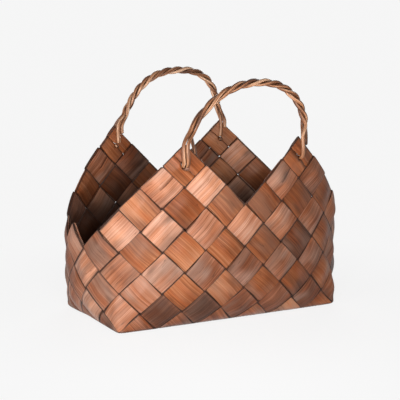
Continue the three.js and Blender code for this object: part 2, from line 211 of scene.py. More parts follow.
# %% [markdown]
# ## The surface that the weave follows
# All strips lie close to one surface: a flat rectangle whose edges turn up into walls, which swell to an
# oval. It could be drawn as a subdivided cage, but a strip has to know where it is at every point of its
# course, so the surface is a formula. A place on it is given in cells, the squares where two strips
# cross: a and b measure the base from its front left corner, and go on past its edges up the walls.

# %% Sizes of the weave
STRIP_WIDTH = 0.0445
WEAVE_GAP = 0.0025
STRIP_THICKNESS = 0.0014
LAYER_GAP = 0.0004
BASE_LONG = 6
BASE_WIDE = 3
CORNER_CELLS = 3
PEAK_INSET = 1.5
SIDE_BULGE = 0.0415
END_BULGE = 0.0295
ROUNDING_HEIGHT = 0.125
BOW_DROP = 0.0055
MOUTH_EXPONENT = 2.42
EDGE_ROUNDING = 0.004
CORNER_BULGE = 0.008
CORNER_LENGTH = (0.1, 0.2)
CORNER_DEPTH = (0.0, 0.09)
CORNER_HEIGHT = (0.02, 0.17)

PITCH = STRIP_WIDTH + WEAVE_GAP
CELL = PITCH * math.sqrt(2)
AROUND = 2 * (BASE_LONG + BASE_WIDE)
LAYER_OFFSET = (STRIP_THICKNESS + LAYER_GAP) / 2
FLOOR = STRIP_THICKNESS + LAYER_GAP / 2
PEAK_ROW = CORNER_CELLS + PEAK_INSET
EYE_ROW = PEAK_ROW - 0.5
PEAKS = np.array([PEAK_INSET, BASE_LONG - PEAK_INSET, BASE_LONG + BASE_WIDE + PEAK_INSET,
                  AROUND - BASE_WIDE - PEAK_INSET])
END_VALLEYS = np.array([-BASE_WIDE / 2, BASE_LONG + BASE_WIDE / 2])
TOLERANCE = 1e-6

# %% The mouth and the walls


def smooth_step(x):
    """Cubic ease from nought to one."""
    x = np.clip(x, 0, 1)
    return x * x * (3 - 2 * x)


def eased(x, span):
    """Cubic ease from nought to one over a span of x."""
    return smooth_step((x - span[0]) / (span[1] - span[0]))


def mouth_quarter(samples=2001):
    """Quarter superellipse from the middle of a long side to the middle of an end, by share of length."""
    angle = np.linspace(0, np.pi / 2, samples)
    reach = (np.sin(angle) ** MOUTH_EXPONENT + np.cos(angle) ** MOUTH_EXPONENT) ** (-1 / MOUTH_EXPONENT)
    x = (BASE_LONG * CELL / 2 + END_BULGE) * np.sin(angle) * reach
    y = (BASE_WIDE * CELL / 2 + SIDE_BULGE) * np.cos(angle) * reach
    length = np.concatenate([[0], np.cumsum(np.hypot(np.diff(x), np.diff(y)))])
    return length / length[-1], x, y


MOUTH_SHARE, MOUTH_X, MOUTH_Y = mouth_quarter()


def wrapped(x):
    """Signed distance round the basket, in cells, brought within half a turn."""
    return x - AROUND * np.round(x / AROUND)


def rounding(row):
    """Share of the way from the straight base to the oval mouth: a cubic ease that ends level."""
    return 1 - (1 - np.clip(row * CELL / ROUNDING_HEIGHT, 0, 1)) ** 3


def drawn_in(distance):
    """How far a folded edge is drawn in at this distance from it: half the gap of a hyperbola."""
    return (np.hypot(distance, EDGE_ROUNDING) - distance) / 2


UNFOLD = {
    "front": lambda a, b: (a, -b),
    "left": lambda a, b: (-b, -a),
    "right": lambda a, b: (BASE_LONG + b, a - BASE_LONG),
    "back": lambda a, b: (2 * BASE_LONG + BASE_WIDE - a, b - BASE_WIDE),
}


def weave_point(side, a, b):
    """Middle surface of the weave. A box corner first: each pair of its three distances to the faces is
    drawn in where both are small. Then the wall's outline moves towards the mouth as the row rises.
    Last, the foot of the back left corner is pushed out along X, because the real base is not quite a
    rectangle."""
    x, row = UNFOLD[side](a, b)
    on_wall = row > 0
    up = np.maximum(row, 0)
    from_front = wrapped(x - BASE_LONG / 2)
    turn = np.abs(from_front)
    behind = turn > AROUND / 4
    along = np.where(behind, AROUND / 2 - turn, turn)
    past = np.maximum(along - BASE_LONG / 2, 0)
    flat_x = np.where(on_wall, along - past, np.abs(a - BASE_LONG / 2)) * CELL
    flat_y = np.where(on_wall, BASE_WIDE / 2 - past, np.abs(b - BASE_WIDE / 2)) * CELL
    gap_x = BASE_LONG * CELL / 2 - flat_x
    gap_y = BASE_WIDE * CELL / 2 - flat_y
    gap_z = up * CELL
    upright_edge = drawn_in(np.maximum(gap_x, gap_y))
    end_edge = drawn_in(np.maximum(gap_x, gap_z))
    long_edge = drawn_in(np.maximum(gap_y, gap_z))
    half_x = flat_x - upright_edge - end_edge
    half_y = flat_y - upright_edge - long_edge
    round_share = rounding(up)
    share = along / (AROUND / 4)
    half_x = half_x + (np.interp(share, MOUTH_SHARE, MOUTH_X) - half_x) * round_share
    half_y = half_y + (np.interp(share, MOUTH_SHARE, MOUTH_Y) - half_y) * round_share
    to_left = np.where(on_wall, from_front < 0, a < BASE_LONG / 2)
    to_back = np.where(on_wall, behind, b > BASE_WIDE / 2)
    height = FLOOR + gap_z + (end_edge + long_edge) * (1 - round_share) - BOW_DROP * round_share
    x = np.where(to_left, -half_x, half_x)
    y = np.where(to_back, half_y, -half_y)
    near_corner = eased(-x, CORNER_LENGTH) * eased(y, CORNER_DEPTH) * (1 - eased(height, CORNER_HEIGHT))
    return np.stack([x - CORNER_BULGE * near_corner, y, height], axis=-1)


def wall_point(x, row):
    """Middle surface of the wall at a place round the basket and a row."""
    return weave_point("front", np.array(x, float), np.array(-row, float))


def rim_row(x):
    """Height of the zigzag rim in cells: the peak's height less the distance to the nearest peak."""
    return PEAK_ROW - np.min(np.abs(wrapped(x - PEAKS)))


def is_woven(x, row):
    """Whether a cell is woven: all below the rim, and one tab in the valley of each end."""
    near_valley = np.abs(wrapped(x - END_VALLEYS)) < TOLERANCE
    tab = near_valley.any() and abs(row - rim_row(x) - 0.5) < TOLERANCE
    return tab or row + 0.5 <= rim_row(x) + TOLERANCE


print("weave: cell", round(CELL * 1000, 2), "mm, first eye at", np.round(wall_point(PEAKS[0], EYE_ROW), 4))

# %% [markdown]
# ## Courses
# A strip runs straight across the unfolded weave, from rim to rim. Warp and weft strips cross at right
# angles. A course knows the place of each point of its strip, where along lies the length of the strip
# and across its width, both counted in strip spacings, and which wall it climbs at either end. The first
# strips of each set are of a pale bark and the others of a russet one. The pale bark is partly the bark's
# own colour and partly painted light, for the stronger light and sheen on the left of the basket.

# %% Courses
# The pale strips are partly painted light, for the stronger light and sheen on the left
FIRST_RUSSET_WARP = 6
FIRST_RUSSET_WEFT = 7


def warp_course(number):
    """Warp strip: from the front left, over the base, to the back right."""
    line = number - 0.5 - BASE_WIDE
    return {
        "name": f"warp_strip_{number}",
        "slot": "warp_strip",
        "place": lambda along, across: ((along + line - across) / 2, (along - line + across) / 2),
        "low": abs(line),
        "high": min(2 * BASE_WIDE + line, 2 * BASE_LONG - line),
        "sides": ("front" if line > 0 else "left", "back" if line < BASE_LONG - BASE_WIDE else "right"),
        "bark": "pale" if number < FIRST_RUSSET_WARP else "russet",
        "outside_on_halves": True,
    }


def weft_course(number):
    """Weft strip: from the back left, over the base, to the front right."""
    line = number - 0.5
    return {
        "name": f"weft_strip_{number}",
        "slot": "weft_strip",
        "place": lambda along, across: ((across + line + along) / 2, (across + line - along) / 2),
        "low": max(-line, line - 2 * BASE_WIDE),
        "high": min(line, 2 * BASE_LONG - line),
        "sides": ("left" if line < BASE_WIDE else "back", "front" if line < BASE_LONG else "right"),
        "bark": "pale" if number < FIRST_RUSSET_WEFT else "russet",
        "outside_on_halves": False,
    }


def side_at(course, along):
    """Wall over which this stretch of the strip unfolds."""
    return course["sides"][0 if along < (course["low"] + course["high"]) / 2 else 1]


def cell_place(course, along):
    """Position round the basket and row of the cell at this place along the strip."""
    return UNFOLD[side_at(course, along)](*course["place"](along, 0.0))


def cells_of(course):
    """Places along a strip of all its cells, from rim to rim."""
    first = course["low"]
    while is_woven(*cell_place(course, first - 1)):
        first -= 1
    last = course["high"]
    while is_woven(*cell_place(course, last + 1)):
        last += 1
    return np.arange(first, last + 0.5)


def strip_point(course, along, across):
    """Middle surface under a strip, for whole arrays of along and across."""
    a, b = course["place"](along, across)
    early = along < (course["low"] + course["high"]) / 2
    first, last = (weave_point(side, a, b) for side in course["sides"])
    return np.where(early[..., None], first, last)


def strip_outward(course, along, across, step=0.01):
    """Unit vector out of the basket: the cross product of the surface's two slopes."""
    slope_along = strip_point(course, along + step, across) - strip_point(course, along - step, across)
    slope_across = strip_point(course, along, across + step) - strip_point(course, along, across - step)
    out = np.cross(slope_across, slope_along)
    return out / np.linalg.norm(out, axis=-1, keepdims=True)


numbers = range(1, BASE_LONG + BASE_WIDE + 1)
courses = [make(number) for make in (warp_course, weft_course) for number in numbers]
print("courses:", len(courses), "strips of", [len(cells_of(c)) for c in courses], "cells")

# %% [markdown]
# ## Strips of bark
# A strip is a thin band that goes over and under, swells a little between crossings, and is folded back on
# itself at the rim, with its tail tucked between the layers. It could be a plane with Solidify, but the
# fold and the steep steps need a true thickness, so the band is worked out as a path in the plane of
# length and height, thickened by its own normal, and then laid on the surface of the weave. The strips
# that top a peak are split along their grain and opened to an eye there, so every strip is made as two
# halves that are welded wherever it is whole.

# %% Strip path
SWELL = 0.0034
STEP_SHARPNESS = 22.0
OUTSIDE_REACH = 0.0006
HEM_OVERHANG = 0.0005
HEM_ROOM = 0.0003
HEM_REACH = 0.014
HEM_EASE = 0.014
HEM_TAIL = 0.012
TAIL_POINTS = 3
CELL_STATIONS = np.array([-0.5, -0.488, -0.476, -0.462, -0.44, -0.37, -0.28, -0.19, -0.095,
                          0, 0.095, 0.19, 0.28, 0.37, 0.44, 0.462, 0.476, 0.488])
FOLD_ANGLES = np.linspace(np.pi / 2, -np.pi / 2, 9)


def strip_layers(course, cells):
    """One for a cell where the strip lies outside, and minus one where it lies inside."""
    a, _ = course["place"](cells, 0.0)
    on_half = np.round(2 * a) % 2 != 0
    return np.where(on_half == course["outside_on_halves"], 1.0, -1.0)


def over_wave(along, cells, layers):
    """Above nought where the strip lies outside: a cosine, raised so that these stretches reach a little
    further, because the strip that it dives under is narrower than a cell."""
    return layers[0] * np.cos(np.pi * (along - cells[0])) + math.sin(np.pi * OUTSIDE_REACH / PITCH)


def woven_height(along, cells, layers, ends):
    """Height of the band over the weave's middle surface: a square wave with soft steps, raised near
    either end to make room for the folded tail."""
    height = np.tanh(STEP_SHARPNESS * over_wave(along, cells, layers)) * LAYER_OFFSET
    for end, layer in zip(ends, (layers[0], layers[-1])):
        distance = np.abs(along - end) * PITCH
        raised = smooth_step((HEM_REACH + HEM_EASE - distance) / HEM_EASE)
        height = height + layer * (STRIP_THICKNESS + HEM_ROOM) * raised
    return height


def strip_path(course, extra_stations):
    """Path of a strip as arrays of place along it and height, from tail to tail."""
    cells = cells_of(course)
    layers = strip_layers(course, cells)
    reach = (STRIP_WIDTH / 2 + HEM_OVERHANG) / PITCH
    ends = (cells[0] - reach, cells[-1] + reach)
    along = np.unique(np.concatenate([(cells[:, None] + CELL_STATIONS).ravel(), extra_stations, ends]))
    along = along[(along >= ends[0]) & (along <= ends[1])]
    height = woven_height(along, cells, layers, ends)
    fold = (STRIP_THICKNESS + HEM_ROOM / 2) / 2
    tails = []
    for end, layer, outward in ((ends[0], layers[0], -1), (ends[1], layers[-1], 1)):
        top = woven_height(np.array([end]), cells, layers, ends)[0]
        back = np.linspace(0, HEM_TAIL, TAIL_POINTS + 1)[1:]
        turn_along = end + outward * fold * np.cos(FOLD_ANGLES) / PITCH
        turn_height = top - layer * fold * (1 - np.sin(FOLD_ANGLES))
        tail_along = end - outward * back / PITCH
        tail_height = np.full(TAIL_POINTS, top - 2 * layer * fold)
        tails.append((np.append(turn_along[1:], tail_along), np.append(turn_height[1:], tail_height)))
    along = np.concatenate([tails[0][0][::-1], along, tails[1][0]])
    height = np.concatenate([tails[0][1][::-1], height, tails[1][1]])
    return along, height, cells, layers


# %% Slits and eyes
ROD_DIAMETER = 0.0056
ROD_GAP = 0.0006
ROD_SPACING = ROD_DIAMETER + ROD_GAP
LEG_SPACING = 0.007
OUTSIDE_RODS = np.array([2, 1, 1, 1])
EYE_CLEARANCE = 0.0012
EYE_LENGTHEN = 1.7
SLIT_WIDTH = 0.001
SLIT_LENGTH = 0.052
SLIT_TAPER = 0.012
LENS_POINTS = 25
TAPER_POINTS = 4


def eye_radius(peak):
    """Half the opening of an eye: the rods that hook through it, seen along the slit, and a clearance."""
    rods = OUTSIDE_RODS[PEAKS == peak][0]
    return ((rods - 1) * LEG_SPACING * math.sqrt(0.5) + ROD_DIAMETER) / 2 + EYE_CLEARANCE / 2


def eyes_of(course):
    """Eyes on a strip: place along it, radius, and which way its free end lies."""
    cells = cells_of(course)
    found = []
    for cell, way in ((cells[0], -1), (cells[-1], 1)):
        x, row = cell_place(course, cell)
        near = np.abs(wrapped(x - PEAKS)) < TOLERANCE
        if near.any() and abs(row - EYE_ROW) < TOLERANCE:
            found.append((cell, eye_radius(PEAKS[near][0]), way))
    return found


def slit_opening(along, eyes):
    """Half the opening along the middle of a strip: a narrow slit that tapers out, and in it eyes that
    are drawn out to a lens, one less the square of the distance from the middle."""
    opening = np.zeros_like(along)
    for eye, radius, way in eyes:
        distance = (along - eye) * PITCH * way
        slit = SLIT_WIDTH / 2 * np.clip((distance + SLIT_LENGTH) / SLIT_TAPER, 0, 1)
        lens = radius * np.clip(1 - (distance / (EYE_LENGTHEN * radius)) ** 2, 0, None)
        opening = np.maximum(opening, np.maximum(slit, lens))
    return opening


def eye_stations(eyes):
    """Places along the strip that follow the lens of each eye and the taper of each slit."""
    lens = np.linspace(-1, 1, LENS_POINTS)
    taper = np.linspace(SLIT_LENGTH - SLIT_TAPER, SLIT_LENGTH, TAPER_POINTS)
    lenses = [eye + EYE_LENGTHEN * radius * lens / PITCH for eye, radius, way in eyes]
    tapers = [eye - way * taper / PITCH for eye, radius, way in eyes]
    return np.concatenate([[], *lenses, *tapers])


print("eyes:", sum(len(eyes_of(course)) for course in courses), "strip ends are split at a peak")

# %% Strip section
ACROSS_POINTS = 9
EDGE_ANGLES = np.linspace(np.pi / 2, -np.pi / 2, 7)[1:-1]


def half_ring(opening, half_width):
    """Cross-section of one half of a strip, as across and height for each station: from the middle
    over the top, round the outer edge and back underneath."""
    radius = STRIP_THICKNESS / 2
    share = np.sin(np.linspace(0, np.pi / 2, ACROSS_POINTS))
    flat = opening[:, None] + (half_width[:, None] - radius - opening[:, None]) * share
    edge = half_width[:, None] - radius + radius * np.cos(EDGE_ANGLES)
    across = np.concatenate([flat, edge, flat[:, ::-1]], axis=1)
    top = np.full(ACROSS_POINTS, radius)
    return across, np.concatenate([top, radius * np.sin(EDGE_ANGLES), -top])


# %% [markdown]
# Seams and depth are values on the vertices that the bark's colour reads later. Little light gets between
# the strips or down inside the basket. Lamps alone did not make these places as dark as the photograph
# shows them, so a part of the darkness is in the colour.

# %% Seams and depth
SEAM_WIDTH = 0.0012
SEAM_ENDS = (0.03, 0.12)
SEAM_CORNER = (0.42, 0.48)
CORNER_EDGE = (0.88, 0.98)
END_SHADE_WIDENING = 2.4
SHADE_WIDENING_REACH = (0.19, 0.22)
FOOT_HEIGHT = 0.006
DEEP_HEIGHT = 0.245
DEEP_FADE = 0.1
HEM_LIGHT = (0.004, 0.016)
STAINS = {"weft_strip_1": (1.5, 0.75), "weft_strip_2": (2.5, 0.8)}
STAIN_REACH = (0.35, 0.7)


def painted_seam_shade(place, within, across, half_width, points, cells, layers):
    """How much painted shade a point has, the most of four: near the edges, in a band wider at the ends
    of the basket, where the strip dives under, at a cell's corners, and at the foot of the walls."""
    shade_widening = 1 + END_SHADE_WIDENING * eased(np.abs(points[..., 0]), SHADE_WIDENING_REACH)
    edge = smooth_step((across - half_width) / (SEAM_WIDTH * shade_widening) + 1)
    dive = 1 - eased(np.abs(over_wave(place, cells, layers)), SEAM_ENDS)
    corner = eased(np.abs(within), SEAM_CORNER) * eased(across / half_width, CORNER_EDGE)
    foot = smooth_step(1 - points[..., 2] / FOOT_HEIGHT)
    return np.maximum.reduce([edge, dive, corner, foot])


def painted_depth_shade_and_stain(name, place, points, inner, cells):
    """How dark a point is: painted shade on the inner face grows from nought to one below a height, but not
    on the hem at the rim, and a strip may have a stain round one place along it."""
    from_rim = (len(cells) / 2 - np.abs(place - (cells[0] + cells[-1]) / 2)) * PITCH
    # Painted shade on the inner face, lower down
    deep = smooth_step((DEEP_HEIGHT - points[..., 2]) / DEEP_FADE) * inner * eased(from_rim, HEM_LIGHT)
    stain_place, stain_strength = STAINS.get(name, (0, 0))
    stain = stain_strength * (1 - eased(np.abs(place - stain_place), STAIN_REACH))
    return np.maximum(deep, stain)


# %% Strip surface
BARK_WIDTH = 0.047
WIDTH_WANDER = 0.0013
WANDER_RATES = (1.9, 4.3)
STRIP_DRIFT = 0.0009
DRIFT_RATES = (1.3, 2.9)
STRIP_TONES = 0.5
CELL_TONES = 0.9
CELL_SWELL = (0.6, 1.3)
SWELL_ROWS = 0.4
EDGE_CURL = 0.0005
CURL_WIDTH = 0.0045


def two_waves(along, rates, phases):
    """Sum of two sines along the strip."""
    return np.sin(along * rates[0] + phases[0]) + np.sin(along * rates[1] + phases[1])


def strip_surface(course, random):
    """Both halves of a strip as arrays: points, the grain's coordinates, the tone, the painted shade at the
    seams and deep inside, with stains, of every vertex, and the opening of the slit at every station. The
    strip's width and place wander as sums of sines. On the walls its middle swells by a squared cosine
    along each cell and a parabola across it, and its edges curl down."""
    eyes = eyes_of(course)
    along, height, cells, layers = strip_path(course, eye_stations(eyes))
    opening = slit_opening(along, eyes)
    slope = np.stack([np.gradient(along) * PITCH, np.gradient(height)])
    slope = slope / np.linalg.norm(slope, axis=0)
    phase = random.uniform(0, 2 * np.pi, (3, 2))
    drift = STRIP_DRIFT * two_waves(along, DRIFT_RATES, phase[2])
    cell_tones = random.normal(random.normal(0, STRIP_TONES), CELL_TONES, len(cells))
    cell_swell = random.uniform(*CELL_SWELL, len(cells))
    halves = []
    for half, sign in enumerate((-1, 1)):
        wander = two_waves(along, WANDER_RATES, phase[half])
        half_width = BARK_WIDTH / 2 - WIDTH_WANDER * (1 - wander / 2) / 2
        across, rise = half_ring(opening, half_width)
        half_width = half_width[:, None]
        place = along[:, None] - slope[1][:, None] * rise / PITCH
        off = (sign * across + drift[:, None]) / PITCH
        nearest = np.clip(np.round(place - cells[0]).astype(int), 0, len(cells) - 1)
        within = np.clip(place - cells[nearest], -0.5, 0.5)
        rows = [UNFOLD[side](*course["place"](place, off))[1] for side in course["sides"]]
        on_wall = smooth_step(np.maximum(*rows) / SWELL_ROWS)
        crown = np.cos(np.pi * within) ** 2 * (1 - (across / half_width) ** 2)
        curl = smooth_step((across - half_width) / CURL_WIDTH + 1)
        swell = (SWELL * cell_swell[nearest] * crown - EDGE_CURL * curl) * layers[nearest] * on_wall
        lift = height[:, None] + slope[0][:, None] * rise + swell
        points = strip_point(course, place, off) + strip_outward(course, place, off) * lift[..., None]
        # Painted shade at the seams and low on the inner face, and a few stains, go on the vertices
        shades = {
            "tone": np.interp(place, cells, cell_tones),
            "deep": painted_depth_shade_and_stain(course["name"], place, points, rise < 0, cells),
            "seam_shade": painted_seam_shade(place, within, across, half_width, points, cells, layers),
        }
        halves.append((points, place * PITCH, sign * across, shades))
    return halves, opening


# %% Strip mesh
GRAIN_STARTS = 50


def tube_faces(stations, ring, skip):
    """Quads between neighbouring rings; the closing quad of the ring is left out where skip is true."""
    i, j = np.meshgrid(np.arange(stations - 1), np.arange(ring), indexing="ij")
    k = (j + 1) % ring
    quads = np.stack([i * ring + j, i * ring + k, (i + 1) * ring + k, (i + 1) * ring + j], axis=-1)
    keep = np.ones((stations - 1, ring), bool)
    keep[:, -1] = ~skip
    return quads[keep]


def set_attribute(mesh, name, values):
    """A float or vector for every vertex, kept under this name for the materials."""
    vector = values.ndim == 2
    attribute = mesh.attributes.new(name, "FLOAT_VECTOR" if vector else "FLOAT", "POINT")
    attribute.data.foreach_set("vector" if vector else "value", values.astype(np.float32).ravel())


def weld(mesh, distance=1e-6):
    """Merges the doubled points of the two halves and turns all faces outwards."""
    edit = bmesh.new()
    edit.from_mesh(mesh)
    bmesh.ops.remove_doubles(edit, verts=edit.verts, dist=distance)
    bmesh.ops.recalc_face_normals(edit, faces=edit.faces)
    edit.to_mesh(mesh)
    edit.free()


def grain_map(mesh):
    """UV map along and across the grain, from the grain attribute of every face corner's vertex."""
    grain = np.zeros(3 * len(mesh.vertices), np.float32)
    mesh.attributes["grain"].data.foreach_get("vector", grain)
    corner = np.zeros(len(mesh.loops), np.int32)
    mesh.loops.foreach_get("vertex_index", corner)
    layer = mesh.uv_layers.new(name="grain_map")
    layer.data.foreach_set("uv", grain.reshape(-1, 3)[corner, :2].ravel())


def finish_piece(name, mesh, material, body, node):
    """Smooth piece at the origin that stands for its CAD node and moves with its body."""
    mesh.polygons.foreach_set("use_smooth", np.ones(len(mesh.polygons), bool))
    mesh.materials.append(material)
    piece = bpy.data.objects.new(name, mesh)
    bpy.context.scene.collection.objects.link(piece)
    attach(piece, body)
    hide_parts(node)
    return piece


def strip_mesh(course, random):
    """Mesh of one strip: two tubes of quads with capped ends, welded along the middle."""
    halves, opening = strip_surface(course, random)
    seed = random.uniform(0, GRAIN_STARTS)
    stations, ring = halves[0][0].shape[:2]
    whole = (opening[1:] <= 0) & (opening[:-1] <= 0)
    faces = []
    for half in range(2):
        start = half * stations * ring
        faces += (tube_faces(stations, ring, whole) + start).tolist()
        caps = np.stack([np.arange(ring), np.arange(ring)[::-1] + (stations - 1) * ring]) + start
        faces += caps.tolist()
    mesh = bpy.data.meshes.new(course["name"] + "_bark")
    mesh.from_pydata(np.concatenate([h[0].reshape(-1, 3) for h in halves]).tolist(), [], faces)
    grain = [np.stack([h[1], h[2], np.full(h[1].shape, seed)], axis=-1).reshape(-1, 3) for h in halves]
    set_attribute(mesh, "grain", np.concatenate(grain))
    for name in halves[0][3]:
        set_attribute(mesh, name, np.concatenate([h[3][name].ravel() for h in halves]))
    weld(mesh)
    grain_map(mesh)
    return mesh


# %% [markdown]
# ## Bark
# Bark strips are warm brown with fine grain along the strip. Some are pale and some russet, and both have
# an orange blush, grey and dark patches, silvery patches of painted sheen and a few long cracks. An image
# would repeat from strip to strip, so the grain is noise stretched along each strip's own coordinates, with
# a different start for every strip. The satin sheen is drawn out across the grain by the shader's
# anisotropy.

# %% Material helpers


def attribute_value(tree, name, output="Fac"):
    """A vertex attribute, as a material reads it."""
    return add_node(tree, "ShaderNodeAttribute", attribute_name=name).outputs[output]


def weighted_sum(tree, start, *terms):
    """A start value plus every value times its weight."""
    total = start
    for value, weight in terms:
        total = math_node(tree, "ADD", math_node(tree, "MULTIPLY", value, weight), total)
    return total


def stretched_noise(tree, vector, scale, detail=3.0, roughness=0.55):
    """Noise whose features are drawn out along the grain: the coordinates are scaled unevenly first."""
    scaled = add_node(tree, "ShaderNodeVectorMath", {0: vector, 1: scale}, operation="MULTIPLY")
    inputs = {"Vector": scaled.outputs[0], "Scale": 1.0, "Detail": detail, "Roughness": roughness}
    return add_node(tree, "ShaderNodeTexNoise", inputs).outputs[0]


def ramp(tree, value, stops):
    """Colour ramp through (position, colour) stops."""
    made = add_node(tree, "ShaderNodeValToRGB", {0: value})
    elements = made.color_ramp.elements
    while len(elements) < len(stops):
        elements.new(0.5)
    for element, (position, colour) in zip(elements, stops):
        element.position = position
        element.color = (*colour, 1)
    return made.outputs[0]


def ranged(tree, value, low, high, to_low=0.0, to_high=1.0):
    """Value moved from one range to another, held at the ends."""
    inputs = {0: value, 1: low, 2: high, 3: to_low, 4: to_high}
    return add_node(tree, "ShaderNodeMapRange", inputs).outputs[0]


def mixed_colour(tree, share, first, second, blend="MIX"):
    """Two colours mixed by a share."""
    made = add_node(tree, "ShaderNodeMix", data_type="RGBA", blend_type=blend)
    for socket, value in ((0, share), (6, first), (7, second)):
        if isinstance(value, bpy.types.NodeSocket):
            tree.links.new(value, made.inputs[socket])
        else:
            made.inputs[socket].default_value = value if socket == 0 else (*value, 1)
    return made.outputs[2]


# %% Bark material
RUSSET_STOPS = ((0.2, (0.06, 0.017, 0.006)), (0.4, (0.18, 0.054, 0.019)),
                (0.58, (0.3, 0.1, 0.039)), (0.82, (0.52, 0.235, 0.125)))
# The pale bark is partly painted light, for the stronger light and sheen on the left
PALE_STOPS = ((0.2, (0.07, 0.021, 0.009)), (0.4, (0.2, 0.067, 0.031)),
              (0.58, (0.38, 0.162, 0.092)), (0.82, (0.66, 0.36, 0.245)))
BARK_DARK = (0.02, 0.008, 0.005)
BARK_GREY = (0.18, 0.1, 0.07)
BARK_BLUSH = (1.0, 0.84, 0.7)
# The silvery colour is a painted sheen
BARK_PAINTED_SHEEN = (0.55, 0.38, 0.3)
BARK_SHEEN = (1.0, 0.92, 0.86, 1)
# Each noise has its scales along, across and between strips, then its detail and roughness
BARK_NOISE = {
    "streaks": ((7, 280, 1), 3.0, 0.6),
    "fine": ((14, 900, 1), 2.0, 0.6),
    "blush": ((8, 110, 4), 2.0),
    "patches": ((10, 26, 1), 2.0),
    "clouds": ((13, 40, 3), 2.0),
    "painted_sheen": ((18, 36, 5), 1.0),
    "cracks": ((5, 190, 7), 1.0),
}
BARK_VALUE = 0.06
STREAK_WEIGHT = 0.48
FINE_WEIGHT = 0.4
TONE_WEIGHT = 0.13
# A range is the noise's low and high, and where four are given, what they become
BLUSH_RANGE = (0.42, 0.62)
PATCH_RANGE = (0.52, 0.68)
CLOUD_RANGE = (0.58, 0.78, 0.0, 0.7)
PAINTED_SHEEN_RANGE = (0.52, 0.75)
PAINTED_SHEEN_LINES = (0.3, 0.6, 0.4, 1.0)
CRACK_RANGE = (0.0, 0.008, 0.6, 0.0)
ROUGHNESS_RANGE = (0.3, 0.7, 0.52, 0.4)
SHADE_STRENGTH = {"seam_shade": 0.95, "deep": 0.86}
FINE_RELIEF = 0.5


def bark_material(name, stops, grey_share, painted_sheen_share):
    """Bark: streaks, fine lines and the cell's tone pick a colour. A blush, grey and dark patches and
    patches of painted sheen lie over it, then cracks and the painted shade at the seams and deep inside,
    with stains. Streaks, lines and cracks give the bump."""
    material, tree, output = fresh_material(name)
    grain = attribute_value(tree, "grain", "Vector")
    tone = attribute_value(tree, "tone")
    noise = {kind: stretched_noise(tree, grain, *values) for kind, values in BARK_NOISE.items()}
    streaks, fine = noise["streaks"], noise["fine"]
    terms = (streaks, STREAK_WEIGHT), (fine, FINE_WEIGHT), (tone, TONE_WEIGHT)
    colour = ramp(tree, weighted_sum(tree, BARK_VALUE, *terms), stops)
    blush = ranged(tree, noise["blush"], *BLUSH_RANGE)
    colour = mixed_colour(tree, blush, colour, BARK_BLUSH, "MULTIPLY")
    grey = ranged(tree, noise["patches"], *PATCH_RANGE, 0.0, grey_share)
    colour = mixed_colour(tree, grey, colour, BARK_GREY)
    colour = mixed_colour(tree, ranged(tree, noise["clouds"], *CLOUD_RANGE), colour, BARK_DARK)
    # Painted sheen: silvery patches along the fine lines stand in for highlights
    painted_sheen = ranged(tree, noise["painted_sheen"], *PAINTED_SHEEN_RANGE, 0.0, painted_sheen_share)
    painted_sheen = math_node(tree, "MULTIPLY", painted_sheen, ranged(tree, fine, *PAINTED_SHEEN_LINES))
    colour = mixed_colour(tree, painted_sheen, colour, BARK_PAINTED_SHEEN)
    from_crack = math_node(tree, "ABSOLUTE", math_node(tree, "SUBTRACT", noise["cracks"], 0.5))
    crack = ranged(tree, from_crack, *CRACK_RANGE)
    colour = mixed_colour(tree, crack, colour, BARK_DARK)
    # Painted shade at the seams and deep inside, with the stains, darkens the colour
    for shade, strength in SHADE_STRENGTH.items():
        share = math_node(tree, "MULTIPLY", attribute_value(tree, shade), strength)
        colour = mixed_colour(tree, share, colour, BARK_DARK)
    relief = math_node(tree, "SUBTRACT", weighted_sum(tree, streaks, (fine, FINE_RELIEF)), crack)
    bump = add_node(tree, "ShaderNodeBump", {"Strength": 0.35, "Distance": 0.0006, "Height": relief})
    tangent = add_node(tree, "ShaderNodeTangent", direction_type="UV_MAP", uv_map="grain_map")
    shader = add_node(tree, "ShaderNodeBsdfPrincipled", {
        "Base Color": colour,
        "Roughness": ranged(tree, streaks, *ROUGHNESS_RANGE),
        "Specular IOR Level": 0.22,
        "Specular Tint": BARK_SHEEN,
        "Anisotropic": 0.8,
        "Anisotropic Rotation": 0.25,
        "Normal": bump.outputs[0],
        "Tangent": tangent.outputs[0],
    })
    tree.links.new(shader.outputs[0], output.inputs["Surface"])
    return material


# %% Make the strips
# The pale bark is partly painted light
barks = {
    "russet": bark_material("russet_bark", RUSSET_STOPS, grey_share=0.45, painted_sheen_share=0.1),
    "pale": bark_material("pale_bark", PALE_STOPS, grey_share=0.7, painted_sheen_share=0.35),
}
BARK_SEED = 11
random = np.random.default_rng(BARK_SEED)
strip_count = 0
for course in courses:
    mesh = strip_mesh(course, random)
    node = course["name"]
    finish_piece(node + "_bark", mesh, barks[course["bark"]], "basket", node)
    strip_count += len(mesh.polygons)
print("strips:", len(courses), "pieces,", strip_count, "faces")

# %% [markdown]
# ## Handle rods
# Each handle is three peeled rods twisted together along an arch. At its ends the rods part: some hook
# from outside through the eye of the peak to a short stub, the others end free inside. Their legs stand
# a little further from the wall than the frame's rods, to clear the hems. A curve object with a bevel
# would make such tubes, but its ends and its varying thickness are easier to steer in an array, so each
# rod's course is worked out as points, smoothed, and swept with a ring.

